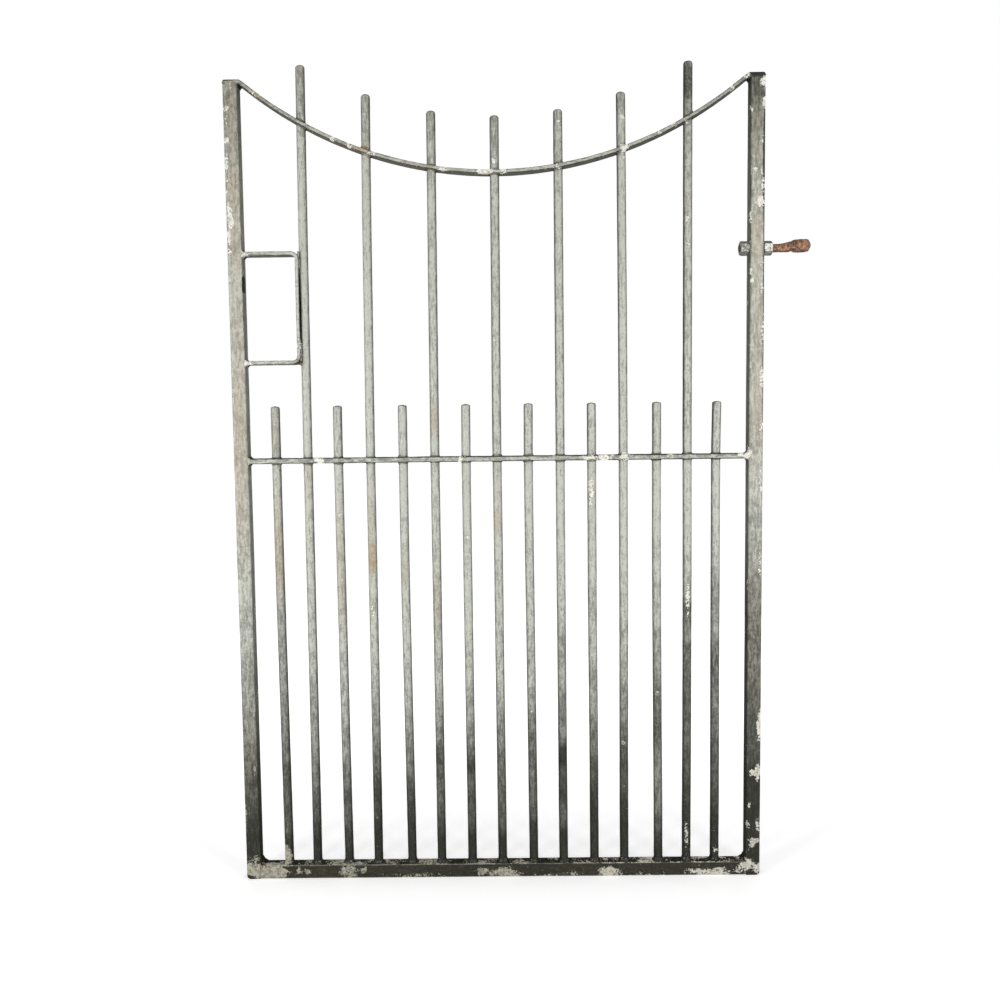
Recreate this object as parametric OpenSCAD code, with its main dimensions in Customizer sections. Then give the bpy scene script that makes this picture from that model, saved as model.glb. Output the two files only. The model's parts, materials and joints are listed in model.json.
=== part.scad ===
// Side gate leaf with a dipped top rail, round uprights, a lock box and an eye bolt hinge.
// The origin is at the centre of the eye's flat underside, on the axis of its bore.
// +X runs from the latch side to the hinge side, +Y from the front to the back, +Z up.

/* [Leaf] */
// Width over the two stiles
leaf_w = 915; // [750:5:1200]
// Height of the leaf at the two stiles
leaf_h = 1390; // [1200:5:1800]

/* [Frame tube] */
// Side of the square tube in the stiles and the bottom rail
tube_side = 25; // [25:1:40]
// Wall of the square tube
tube_wall = 3; // [2:0.5:5]
// Radius on the long corners of the square tube
tube_corner_r = 2.5; // [1:0.5:4]
// Thickness of the closed lower end of each stile
stile_foot_t = 8; // [6:0.5:12]
// Radius ground on the two lower corners of the leaf
leaf_corner_r = 6; // [2:0.5:8]

/* [Flat bar rails] */
// Thickness of the top rail's flat bar
top_rail_t = 7; // [6:0.5:10]
// Thickness of the mid rail's flat bar
mid_rail_t = 10; // [6:0.5:12]
// Radius on the long edges of the rails
rail_edge_r = 1.5; // [0.5:0.25:2.5]
// Height of the mid rail's upper face
mid_rail_z = 751; // [500:1:900]
// How far the top rail dips below the stile tops
top_dip = 154; // [80:1:220]
// How far the top rail's flat ends reach past the stiles before the dip starts
rail_shoulder = 4.5; // [3:0.5:8]
// Radius ground on the outer ends of the top rail
rail_end_r = 4; // [1:0.5:6]

/* [Round bars] */
// Diameter of the round bars
bar_d = 16; // [10:1:20]
// Clearance all round a bar in its hole
bar_gap = 0.3; // [0.1:0.1:0.8]
// Rounding on the top of each bar
bar_top_r = 5; // [1:0.5:7]
// How far each long bar stands above the top rail
long_rise = 92; // [40:1:150]
// How far each short bar stands above the mid rail
short_rise = 90; // [40:1:150]
// From the latch stile's inner face to the middle of the first bar
first_bar_gap = 46.5; // [35:0.5:70]
// From the last bar's middle to the hinge stile's inner face
last_bar_gap = 54.5; // [35:0.5:70]

/* [Lock box] */
// How deep the lock box's upright is scribed to the side of the first long bar
lock_scribe = 3.5; // [1:0.5:5]
// Height over the lock box
lock_h = 192; // [120:1:240]
// Height of the lock box's lower edge
lock_z = 912; // [780:1:1000]
// Thickness of the lock box's flat bar
lock_t = 7; // [4:0.5:10]
// Inner radius at the two bends of the lock box
lock_bend_r = 7; // [3:0.5:12]

/* [Eye bolt] */
// Height of the eye bolt's axis
bolt_z = 1100; // [900:1:1200]
// Diameter of the threaded length
bolt_d = 14; // [12:1:20]
// Diameter of the plain neck
neck_d = 14.7; // [10:0.1:18]
// Clearance all round the bolt in the stile
bolt_gap = 0.4; // [0.2:0.1:1]
// Clearance all round the bolt in its nuts
thread_gap = 0.1; // [0.05:0.05:0.2]
// Width across the flats of the nuts
nut_af = 22; // [19:1:30]
// Thickness of each nut
nut_t = 14.8; // [10:0.1:18]
// How far the bolt's end stands out of the inner nut
bolt_end = 1.6; // [0.5:0.1:6]
// Thread that shows between the outer nut and the neck
thread_show = 1; // [0.5:0.5:5]
// Bevel on the bolt's end
bolt_bevel = 1; // [0.5:0.1:1.5]
// Height of the bevel on a nut's free face, at its corners
nut_bevel = 3.6; // [2:0.2:4]
// How far the flat of a nut's free face stays inside the flats
nut_land = 0.5; // [0:0.1:1]
// From the hinge stile's outer face to the axis of the eye
eye_reach = 63.5; // [45:0.5:80]
// Bore of the eye
eye_bore_d = 18; // [14:0.5:22]
// Height of the eye
eye_h = 18.5; // [16:0.5:30]
// How far the eye's flat underside lies above the neck's lowest line
eye_lift = 1.5; // [0.5:0.5:5]
// Largest diameter of the eye
eye_d = 37.2; // [32:0.2:46]
// Diameter of the eye's flat faces
eye_face_d = 28.6; // [26:0.2:30]
// Height of the ridge round the outside of the eye
ridge_z = 9.8; // [7:0.2:13]
// Height of the blunt band at the ridge
ridge_h = 4; // [2:0.2:6]
// How far the band falls back above and below the ridge
ridge_fall = 0.4; // [0.2:0.1:1]
// How far before the eye the neck starts to swell
flare_reach = 11; // [6:0.5:16]
// Length of the swelling, along the neck and into the eye
flare_len = 22; // [16:0.5:24]
// How much the swelling adds to the neck's radius at its end
flare_grow = 1.6; // [1:0.2:3]
// Rise of the swelling, in degrees
flare_rise = 6; // [0:1:10]

/* [Hidden] */
$fn = 48;
// How far a cut runs past a face
past = 1;
// How many degrees the top rail's arc runs on before it is cut off level
arc_over = 2;
// How deep inside the neck the swelling starts
flare_sink = 0.2;
long_count = 7;
short_count = 8;
bar_count = long_count + short_count;
// How far each bar, from the latch side, was set off its even place
bar_nudge = [0, 0, -1, 0, 3, 3, 3, 2, 2.5, 2.5, 3, 2.5, 7, 4, 0];

// Where the leaf's lower front latch corner lies from the origin
eye_x = leaf_w + eye_reach;
eye_z = bolt_z - neck_d / 2 + eye_lift;
mid_y = tube_side / 2;

// Clear width between the stiles
bay_w = leaf_w - 2 * tube_side;
bar_r = bar_d / 2;
hole_r = bar_r + bar_gap;

// The top rail: a flat end over each stile, and between them one long arc.
// The arc's upper edge has the radius of a circle through both shoulders and the lowest point.
stile_top = leaf_h - top_rail_t;
dip_z = leaf_h - top_dip;
half_dip = bay_w / 2 - rail_shoulder;
arc_r = (pow(half_dip, 2) + pow(top_dip, 2)) / (2 * top_dip);
arc_z = dip_z + arc_r;
arc_angle = asin(half_dip / arc_r);

// Places of the bars
bar_span = bay_w - first_bar_gap - last_bar_gap;
function bar_x(k) = tube_side + first_bar_gap + bar_span * k / (bar_count - 1) + bar_nudge[k];
function long_x(i) = bar_x(2 * i - 1);
function short_x(i) = bar_x(2 * i - 2);
function top_rail_z(x) = arc_z - sqrt(pow(arc_r, 2) - pow(x - leaf_w / 2, 2));

// The lock box reaches from the latch stile to the first long bar, cut to the half millimetre
lock_reach = round(2 * (long_x(1) - bar_r + lock_scribe - tube_side)) / 2;

ink = [0.10, 0.10, 0.09];
rust = [0.40, 0.24, 0.17];
worn = [0.62, 0.61, 0.57];

// Moves the leaf from its lower latch corner to the hinge's frame
module hang() {
    translate([-eye_x, -mid_y, -eye_z]) children();
}

// A rectangle, centred, with round corners made of true circles
module round_rect(w, h, r) {
    square([w - 2 * r, h], center = true);
    square([w, h - 2 * r], center = true);
    for (x = [-1, 1], y = [-1, 1])
        translate([x * (w / 2 - r), y * (h / 2 - r)]) circle(r = r);
}

module tube_section() {
    difference() {
        round_rect(tube_side, tube_side, tube_corner_r);
        square(tube_side - 2 * tube_wall, center = true);
    }
}

// Section of a flat bar as deep as the tube: thickness along X, depth along Y
module flat_section(thickness) {
    round_rect(thickness, tube_side, rail_edge_r);
}

// A section with thickness along X, carried for a length along X with its thickness upright
module flat_run(length) {
    rotate([0, 90, 0]) linear_extrude(height = length) children();
}

// The same section carried round an arc in the XZ plane, about the point (x, z).
// r is the radius to the middle of the thickness; angles start at +X and turn towards +Z.
module flat_arc(x, z, r, from_a, to_a) {
    translate([x, mid_y, z]) rotate([90, 0, 0])
        rotate([0, 0, from_a]) rotate_extrude(angle = to_a - from_a, $fn = 180)
            translate([r, 0]) children();
}

// A stile stands from the ground line up to the rail end that lies on it
module stile(x, outer_side) {
    difference() {
        translate([x + tube_side / 2, mid_y, 0]) linear_extrude(height = stile_top) tube_section();
        corner_cut(x, outer_side);
    }
    difference() {
        translate([x + tube_wall, tube_wall, 0])
            cube([tube_side - 2 * tube_wall, tube_side - 2 * tube_wall, stile_foot_t]);
        corner_cut(x, outer_side);
    }
}

// What is ground off the lower outer corner of a stile
module corner_cut(x, outer_side) {
    corner_x = outer_side < 0 ? x : x + tube_side;
    centre_x = corner_x - outer_side * leaf_corner_r;
    difference() {
        translate([min(corner_x, centre_x) - (outer_side < 0 ? past : 0), -past, -past])
            cube([leaf_corner_r + past, tube_side + 2 * past, leaf_corner_r + past]);
        translate([centre_x, -2 * past, leaf_corner_r]) rotate([-90, 0, 0])
            cylinder(r = leaf_corner_r, h = tube_side + 4 * past);
    }
}

module latch_stile() {
    color(ink) hang() stile(0, -1);
}

module hinge_stile() {
    color(ink) hang() difference() {
        stile(leaf_w - tube_side, 1);
        translate([leaf_w - tube_side - past, mid_y, bolt_z]) rotate([0, 90, 0])
            cylinder(r = bolt_d / 2 + bolt_gap, h = tube_side + 2 * past);
    }
}

module bottom_rail() {
    color(ink) hang() translate([tube_side, mid_y, tube_side / 2]) flat_run(bay_w) tube_section();
}

module mid_rail() {
    color(ink) hang() difference() {
        translate([tube_side, mid_y, mid_rail_z - mid_rail_t / 2]) flat_run(bay_w)
            flat_section(mid_rail_t);
        for (k = [0:bar_count - 1])
            translate([bar_x(k), mid_y, mid_rail_z - mid_rail_t - past])
                cylinder(r = hole_r, h = mid_rail_t + 2 * past);
    }
}

// One flat end of the top rail, lying over the latch stile with its outer corner ground round
module top_rail_end() {
    difference() {
        translate([0, mid_y, leaf_h - top_rail_t / 2]) flat_run(tube_side + rail_shoulder / 2)
            flat_section(top_rail_t);
        translate([-past, -past, leaf_h - rail_end_r]) difference() {
            cube([rail_end_r + past, tube_side + 2 * past, rail_end_r + past]);
            translate([rail_end_r + past, -past, 0]) rotate([-90, 0, 0])
                cylinder(r = rail_end_r, h = tube_side + 4 * past);
        }
    }
}

// The dipped middle of the top rail, cut off level with the flat ends and at the stiles
module top_rail_dip() {
    intersection() {
        flat_arc(leaf_w / 2, arc_z, arc_r + top_rail_t / 2, 270 - arc_angle - arc_over,
            270 + arc_angle + arc_over) flat_section(top_rail_t);
        translate([tube_side, -past, dip_z - 2 * top_rail_t])
            cube([bay_w, tube_side + 2 * past, top_dip + 2 * top_rail_t]);
    }
}

module top_rail() {
    color(ink) hang() difference() {
        union() {
            top_rail_end();
            translate([leaf_w, 0, 0]) mirror([1, 0, 0]) top_rail_end();
            top_rail_dip();
        }
        for (i = [1:long_count])
            translate([long_x(i), mid_y, dip_z - top_rail_t - past])
                cylinder(r = hole_r, h = top_dip + top_rail_t + past);
    }
}

// A bar stands on the bottom rail and has a rounded top
module round_bar(x, top_z) {
    color(ink) hang() translate([x, mid_y, tube_side]) {
        rotate_extrude() {
            square([bar_r, top_z - tube_side - bar_top_r]);
            square([bar_r - bar_top_r, top_z - tube_side]);
            translate([bar_r - bar_top_r, top_z - tube_side - bar_top_r])
                intersection() {
                    circle(r = bar_top_r);
                    square(bar_top_r);
                }
        }
    }
}

module long_bar(i) {
    round_bar(long_x(i), top_rail_z(long_x(i)) + long_rise);
}

module short_bar(i) {
    round_bar(short_x(i), mid_rail_z + short_rise);
}

// Three sides of flat bar round the lock, scribed to the first long bar
module lock_box() {
    arm = lock_reach - lock_bend_r - lock_t;
    corner_x = tube_side + arm;
    low_z = lock_z + lock_t + lock_bend_r;
    high_z = lock_z + lock_h - lock_t - lock_bend_r;
    mid_r = lock_bend_r + lock_t / 2;
    color(ink) hang() difference() {
        union() {
            for (z = [low_z - mid_r, high_z + mid_r])
                translate([tube_side, mid_y, z]) flat_run(arm) flat_section(lock_t);
            flat_arc(corner_x, low_z, mid_r, 270, 360) flat_section(lock_t);
            flat_arc(corner_x, high_z, mid_r, 0, 90) flat_section(lock_t);
            translate([corner_x + mid_r, mid_y, low_z]) linear_extrude(height = high_z - low_z)
                flat_section(lock_t);
        }
        translate([long_x(1), mid_y, lock_z - past]) cylinder(r = hole_r, h = lock_h + 2 * past);
    }
}

// The eye's own ring: flat faces, and an outside that swells to a blunt ridge
module eye_ring() {
    ridge_r = eye_d / 2;
    rotate_extrude() polygon([
        [0, 0],
        [eye_face_d / 2, 0],
        [ridge_r - ridge_fall, ridge_z - ridge_h / 2],
        [ridge_r, ridge_z],
        [ridge_r - ridge_fall, ridge_z + ridge_h / 2],
        [eye_face_d / 2, eye_h],
        [0, eye_h]
    ]);
}

module eye_bolt() {
    start_x = leaf_w - tube_side - nut_t - bolt_end;
    thread_len = bolt_end + nut_t + tube_side + nut_t + thread_show;
    neck_start = start_x + thread_len;
    thread_r = bolt_d / 2;
    neck_r = neck_d / 2;
    shoulder_h = eye_lift + past;
    color(rust) hang() difference() {
        union() {
            translate([start_x, mid_y, bolt_z]) rotate([0, 90, 0]) {
                cylinder(r1 = thread_r - bolt_bevel, r2 = thread_r, h = bolt_bevel);
                translate([0, 0, bolt_bevel]) cylinder(r = thread_r, h = thread_len - bolt_bevel);
                translate([0, 0, thread_len]) cylinder(r = neck_r, h = eye_x - neck_start);
            }
            translate([eye_x, mid_y, eye_z]) eye_ring();
            // the neck swells into the upper half of the eye
            translate([eye_x - eye_d / 2 - flare_reach, mid_y, bolt_z])
                rotate([0, 90 - flare_rise, 0])
                    cylinder(r1 = neck_r - flare_sink, r2 = neck_r + flare_grow, h = flare_len);
        }
        translate([eye_x, mid_y, eye_z - past]) cylinder(r = eye_bore_d / 2, h = eye_h + 2 * past);
        // the neck's lower side slopes up before the eye, so that nothing hangs below the eye's flat underside
        translate([eye_x, mid_y, eye_z - shoulder_h])
            cylinder(r1 = eye_d / 2 + past + shoulder_h, r2 = eye_d / 2 + past, h = shoulder_h);
    }
}

// A hexagon nut with its free face bevelled, its seat at x and its free face towards side
module nut(x, side) {
    corner_r = nut_af / sqrt(3);
    color(worn) hang() translate([x, mid_y, bolt_z]) rotate([0, side * 90, 0]) difference() {
        intersection() {
            cylinder(r = corner_r, h = nut_t, $fn = 6);
            rotate_extrude() polygon([
                [0, 0],
                [corner_r + past, 0],
                [corner_r + past, nut_t - nut_bevel],
                [nut_af / 2 - nut_land, nut_t],
                [0, nut_t]
            ]);
        }
        translate([0, 0, -past]) cylinder(r = bolt_d / 2 + thread_gap, h = nut_t + 2 * past);
    }
}

module inner_nut() {
    nut(leaf_w - tube_side, -1);
}

module outer_nut() {
    nut(leaf_w, 1);
}

latch_stile();
hinge_stile();
bottom_rail();
mid_rail();
top_rail();
for (i = [1:long_count])
    long_bar(i);
for (i = [1:short_count])
    short_bar(i);
lock_box();
eye_bolt();
inner_nut();
outer_nut();
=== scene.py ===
# %% [markdown]
# # A side gate leaf in old black paint
# The real thing is a welded leaf: square tube for the two stiles and the foot rail, flat bar for the mid
# rail, the dipped top rail and the lock box, round bar for the uprights, and an eye bolt to hang it by. The
# paint is pale and chalky higher up, with the reflection of the bright room painted into that pale colour,
# and painted shade darkens its sides and crevices. It is chipped through to the pale undercoats on every
# edge, and the eye bolt has lost its paint and rusted.
# The imported model is the frame: it says where everything is. Each painted piece is made again round its own
# frame node, because a plain solid has no welds, no dents and no place to carry wear.

# %% load the frame and keep its box
import json
import math

import bpy
import numpy as np
from mathutils import Matrix, Vector


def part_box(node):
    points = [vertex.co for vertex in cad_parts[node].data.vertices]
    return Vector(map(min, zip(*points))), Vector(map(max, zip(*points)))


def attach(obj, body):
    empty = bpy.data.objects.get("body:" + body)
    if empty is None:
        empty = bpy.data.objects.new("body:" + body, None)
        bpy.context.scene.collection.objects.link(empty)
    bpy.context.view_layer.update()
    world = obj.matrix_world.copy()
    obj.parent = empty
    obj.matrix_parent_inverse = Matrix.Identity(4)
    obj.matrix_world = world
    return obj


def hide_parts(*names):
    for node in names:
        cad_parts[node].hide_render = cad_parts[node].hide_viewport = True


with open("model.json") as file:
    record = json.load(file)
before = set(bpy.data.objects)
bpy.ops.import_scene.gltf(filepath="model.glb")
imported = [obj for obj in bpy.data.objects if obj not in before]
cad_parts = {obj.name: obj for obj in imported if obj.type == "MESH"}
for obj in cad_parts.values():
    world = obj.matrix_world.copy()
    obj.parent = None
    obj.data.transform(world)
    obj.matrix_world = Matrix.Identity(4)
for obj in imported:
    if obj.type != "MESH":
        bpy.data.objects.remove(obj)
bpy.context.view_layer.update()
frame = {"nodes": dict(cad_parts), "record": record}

# %% [markdown]
# ## Working in millimetres on the leaf
# A smith measures a gate from its lower corner, in millimetres, and so do the shapes here: x runs from the
# latch stile's outer face, y from the front face, z from the foot. One array sum takes them to the frame.

# %% where the leaf's corner is, and where a node lies in leaf millimetres
MM = 0.001
corner = np.array(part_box("latch_stile")[0], float)


def span(node):
    """Lowest and highest corner of a frame node, in leaf millimetres."""
    low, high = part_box(node)
    return (np.array(low) - corner) / MM, (np.array(high) - corner) / MM


def middle(node):
    """Middle of a frame node's box, in leaf millimetres."""
    low, high = span(node)
    return (low + high) / 2


leaf_w = span("hinge_stile")[1][0]
tube = span("latch_stile")[1][0]
depth_mid = tube / 2
leaf_h = span("top_rail")[1][2]
bar_r = (span("long_bar_1")[1][0] - span("long_bar_1")[0][0]) / 2
long_bars = [n for n in sorted(frame["nodes"]) if n.startswith("long_bar_")]
short_bars = [n for n in sorted(frame["nodes"]) if n.startswith("short_bar_")]
print("leaf", round(leaf_w, 1), "x", round(leaf_h, 1), "mm, tube", round(tube, 1), "bar", round(2 * bar_r, 1))

# %% [markdown]
# ## Noise that is the same every time
# Dents, lumps and wear need a smooth random field. A lattice of seeded random numbers, blended with a smooth
# step between its points, gives a value for every point of an array at once.

# %% a seeded lattice noise
lattice_size = 8192
lattice = np.random.default_rng(7).uniform(-1, 1, lattice_size)
mix_x, mix_y, mix_z = 73856093, 19349663, 83492791


def lumps(points, size, seed=0):
    """Smooth noise from -1 to 1. Each point is divided by size, its eight lattice neighbours are looked up by
    a mixed integer of their indices, and they are blended with the weight 3t^2 - 2t^3 along each axis."""
    place = np.asarray(points, float) / size + 31.7 * seed
    cell = np.floor(place).astype(np.int64)
    part = place - cell
    eased = part * part * (3 - 2 * part)
    total = np.zeros(place.shape[:-1])
    for step in np.ndindex(2, 2, 2):
        near = cell + step
        mixed = near[..., 0] * mix_x ^ near[..., 1] * mix_y ^ near[..., 2] * mix_z
        weight = np.prod(np.where(step, eased, 1 - eased), axis=-1)
        total += weight * lattice[(mixed + 101 * seed) % lattice_size]
    return total


def ramp(value, low, high):
    """0 below low, 1 above high, and 3t^2 - 2t^3 between."""
    t = np.clip((value - low) / (high - low), 0, 1)
    return t * t * (3 - 2 * t)


# %% [markdown]
# ## Surfaces from grids
# Every shape below is a grid of points: rings along a path, points around each ring. A grid closes on itself
# round the ring. Along the path it either closes too, as a weld bead does, or ends in a point at each end, as
# a bar does. The faces come from index arithmetic, and a shell whose volume comes out negative is turned.

# %% faces for a grid, and a mesh from many grids
def columns(*parts):
    """Arrays or numbers that broadcast together, side by side along a new last axis."""
    return np.stack(np.broadcast_arrays(*parts), axis=-1)


def shell(grid, closed=False):
    """Points and faces of one closed shell. Ring i's point j joins ring i+1's point j and both points j+1;
    an open grid gets a middle point at each end, joined to its ring by a fan."""
    rings, around, _ = grid.shape
    points = grid.reshape(-1, 3)
    i = np.arange(rings if closed else rings - 1)[:, None]
    j = np.arange(around)
    k = (j + 1) % around
    here, there = i * around, ((i + 1) % rings) * around
    quads = columns(here + j, here + k, there + k, there + j).reshape(-1, 4)
    fans = np.zeros((0, 3), int)
    if not closed:
        first, last = len(points), len(points) + 1
        end = (rings - 1) * around
        fans = np.concatenate([columns(first, k, j), columns(last, end + j, end + k)])
        points = np.concatenate([points, grid[:1].mean(axis=1), grid[-1:].mean(axis=1)])
    corners = np.concatenate([quads[:, [0, 1, 2]], quads[:, [0, 2, 3]], fans])
    a, b, c = (points[corners[:, n]] for n in range(3))
    if (a * np.cross(b, c)).sum() < 0:
        quads, fans = quads[:, ::-1], fans[:, ::-1]
    return points, quads, fans


def in_scene(name, data):
    """A new object of that name and data, linked into the scene."""
    made = bpy.data.objects.new(name, data)
    bpy.context.scene.collection.objects.link(made)
    return made


def build(name, shells, material, node_names=(), sharp=None):
    """Joins shells into one mesh object named name, in the frame's metres, riding on the root body."""
    starts = np.cumsum([0] + [len(points) for points, _, _ in shells])
    points = np.concatenate([points for points, _, _ in shells])
    quads = np.concatenate([quads + start for (_, quads, _), start in zip(shells, starts)])
    fans = np.concatenate([fans + start for (_, _, fans), start in zip(shells, starts)])
    loops = np.concatenate([quads.ravel(), fans.ravel()]).astype(np.int32)
    totals = np.repeat([4, 3], [len(quads), len(fans)])
    mesh = bpy.data.meshes.new(name)
    mesh.vertices.add(len(points))
    mesh.vertices.foreach_set("co", (points * MM + corner).astype(np.float32).ravel())
    mesh.loops.add(len(loops))
    mesh.loops.foreach_set("vertex_index", loops)
    mesh.polygons.add(len(totals))
    mesh.polygons.foreach_set("loop_start", (np.cumsum(totals) - totals).astype(np.int32))
    mesh.polygons.foreach_set("use_smooth", np.ones(len(totals), bool))
    mesh.update(calc_edges=True)
    mesh.validate()
    if sharp:
        mesh.set_sharp_from_angle(angle=math.radians(sharp))
    piece = in_scene(name, mesh)
    mesh.materials.append(material)
    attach(piece, "root")
    if node_names:
        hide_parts(*node_names)
    print(name, len(points), "points,", 2 * len(quads) + len(fans), "triangles")
    return piece


# %% sections, and the ways to carry and dent them
def unit(vectors):
    """The same directions at length one."""
    return vectors / np.maximum(np.linalg.norm(vectors, axis=-1, keepdims=True), 1e-9)


def turns(count):
    """That many angles once round, evenly spaced."""
    return np.linspace(0, 2 * math.pi, count, endpoint=False)


def circle(count):
    """Points once round the unit circle."""
    return columns(np.cos(turns(count)), np.sin(turns(count)))


def round_rect(width, height, radius, step):
    """A centred rectangle with round corners, as a loop of points about step apart, anticlockwise.
    Each corner is a quarter circle, and the straight between two corners is divided evenly."""
    w, h, loop = width / 2 - radius, height / 2 - radius, []
    arc = np.linspace(0, math.pi / 2, 7)
    for turn, (cx, cy) in enumerate([(w, h), (-w, h), (-w, -h), (w, -h)]):
        angle = arc + turn * math.pi / 2
        quarter = columns(cx + radius * np.cos(angle), cy + radius * np.sin(angle))
        straight = 2 * (h if turn % 2 else w)
        count = max(int(straight / step), 5)
        along = np.array([-math.sin((turn + 1) * math.pi / 2), math.cos((turn + 1) * math.pi / 2)])
        loop += [quarter, quarter[-1] + along * np.arange(1, count)[:, None] * straight / count]
    return np.concatenate(loop)


def carry(profile, path, side, up):
    """A profile carried along a path: point = path + side * profile's first + up * profile's second.
    side and up are one direction each, or one for every point of the path."""
    return path[:, None] + side[..., None, :] * profile[:, :1] + up[..., None, :] * profile[:, 1:]


def dents(grid, *waves):
    """The sum of depth * (1 + noise) over the waves, each a depth, the size of its noise and a seed. It is
    never negative, so a dent only ever takes metal away."""
    return sum(depth * (1 + lumps(grid, size, seed)) for depth, size, seed in waves)


def inward(grid, amount):
    """Moves each point of a grid against its outward direction by amount, an array over the grid.
    The direction is the cross product of the two grid directions, turned away from the ring's middle."""
    around = np.roll(grid, -1, axis=1) - np.roll(grid, 1, axis=1)
    out = unit(np.cross(around, np.gradient(grid, axis=0)))
    away = grid - grid.mean(axis=1, keepdims=True)
    out *= np.where((out * away).sum(-1, keepdims=True) < 0, -1, 1)
    return grid - out * amount[..., None]


# %% [markdown]
# ## Where the wear and the painted light lie
# Wear isn't even. Chips follow the edges and the places that get knocked; iron stains the paint tan. The
# paint is pale on the faces that look to the front or back, as chalky paint with the reflection of the bright
# room painted in, and dark on the sides as painted shade; the painted reflection is faint near the ground, so
# the paint stays black there. Each kind of wear and of painted light is a field over the leaf: soft spots in
# (x, z) chosen for this gate, plus rules. CHIPS and TAN are chips and tan stains; DARK is painted shade in
# the crevices by the lock box and along rounded edges, and darker patches elsewhere; SHADES makes the pale
# paint, painted reflection and all, a little paler or darker in places.
# The fields go onto the meshes as point attributes, and the shaders break them up into ragged fine detail.

# %% the spots: middle x and z, half width and half height in mm, and strength
CHIPS = [
    # latch stile, down its outer edge
    (5, 1340, 5, 5, .8), (4, 1321, 3, 9, .7), (5, 1289, 4, 5, .9), (4, 1258, 3, 6, 1.1),
    (4, 1247, 3, 3, 1.0), (4, 1240, 3, 4, 1.0), (4, 1226, 2, 4, .8), (3, 1205, 2, 4, .8),
    (4, 1188, 3, 3, .8), (6, 1174, 4, 9, 1.2), (8, 1152, 5, 14, 1.3), (4, 1128, 3, 12, 1.2),
    (4, 1105, 3, 8, 1.1), (3, 1060, 2, 14, .6), (12, 1378, 13, 6, .35), (2, 860, 2, 20, .5),
    (2, 640, 2, 16, .5), (1, 115, 3, 26, .9), (20, 193, 2, 9, .8), (10, 38, 9, 9, .55),
    (20, 36, 5, 6, .55), (4, 20, 8, 12, .9),
    # hinge stile
    (911, 1375, 6, 9, 1.2), (913, 1340, 4, 12, 1.1), (892, 1331, 3, 3, .9), (908, 1283, 3, 3, .9),
    (907, 1275, 4, 3, .9), (898, 1231, 3, 6, .95), (910, 1226, 2, 4, .9), (911, 1205, 3, 14, .9),
    (908, 1177, 5, 12, 1.3), (897, 1174, 4, 2, .9), (891, 1156, 3, 4, .9), (891, 1146, 2, 4, .8),
    (889, 1111, 3, 4, .9), (910, 1105, 2, 5, .8), (909, 1075, 3, 9, .9), (894, 1045, 3, 5, 1.0),
    (892, 1062, 2, 7, .8), (910, 1030, 3, 12, .8), (911, 960, 3, 30, .8), (911, 880, 3, 24, .9),
    (910, 800, 3, 22, .85), (911, 700, 3, 30, .7), (911, 560, 3, 26, .7), (890, 520, 2, 10, .7),
    (912, 275, 4, 30, 1.1), (911, 190, 7, 11, 1.2), (899, 185, 5, 6, 1.0), (909, 172, 4, 5, .9),
    (895, 128, 2, 9, .8), (912, 95, 4, 14, .8), (893, 92, 3, 10, .9), (904, 62, 9, 8, 1.1),
    (899, 52, 5, 4, .9), (893, 22, 10, 8, 1.1), (912, 12, 9, 10, 1.1),
    # foot rail, from the latch side
    (30, 14, 34, 13, 1.25), (62, 10, 16, 10, 1.0), (93, 14, 5, 8, .95), (109, 14, 7, 5, .95),
    (182, 12, 17, 12, 1.1), (209, 16, 6, 6, .95), (300, 4, 60, 4, .6), (420, 10, 14, 8, 1.0),
    (462, 7, 27, 10, 1.15), (560, 3, 50, 4, .6), (648, 8, 24, 9, 1.1), (715, 4, 30, 4, .6),
    (826, 6, 42, 7, 1.1), (885, 12, 14, 8, .9),
    # uprights
    (71, 42, 10, 16, 1.5), (676, 1320, 6, 4, 1.1), (566, 1316, 4, 3, .9), (785, 1152, 4, 4, .9),
    (786, 1110, 3, 4, .8), (619, 690, 5, 24, .95), (619, 664, 4, 6, .8), (674, 240, 4, 5, .8),
    (785, 69, 3, 24, .95), (787, 495, 3, 34, .95), (836, 46, 4, 7, .9), (235, 110, 2, 3, .8),
    (401, 610, 4, 10, .7), (347, 740, 4, 6, .6), (455, 950, 3, 6, .7), (235, 480, 3, 12, .7),
    (180, 655, 3, 8, .7), (733, 330, 4, 8, .7), (510, 300, 3, 10, .7),
    # top rail and its crossings
    (184, 1290, 5, 4, 1.0), (212, 1279, 4, 5, 1.0), (250, 1266, 8, 3, .9), (371, 1238, 7, 5, .9),
    (441, 1233, 15, 6, 1.3), (472, 1233, 5, 6, 1.1), (456, 1252, 4, 8, .9), (566, 1240, 8, 5, .6),
    (676, 1269, 7, 7, 1.25), (678, 1255, 3, 4, .8), (60, 1362, 18, 10, .35), (735, 1293, 10, 4, .6),
    (762, 1306, 6, 4, .7), (785, 1309, 5, 3, .8), (858, 1364, 5, 5, .9), (884, 1384, 6, 5, .8),
    # mid rail
    (147, 747, 9, 6, 1.2), (392, 747, 5, 5, .9), (560, 747, 14, 4, .5), (614, 747, 10, 6, .95),
    (641, 747, 19, 6, .95), (676, 747, 9, 6, 1.1), (754, 747, 6, 5, .9), (882, 748, 12, 7, 1.15),
    (891, 753, 4, 8, 1.0),
    # lock box
    (58, 915, 28, 5, .55), (118, 940, 5, 22, .6), (30, 1100, 7, 9, .7), (30, 915, 7, 9, .7),
]
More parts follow.
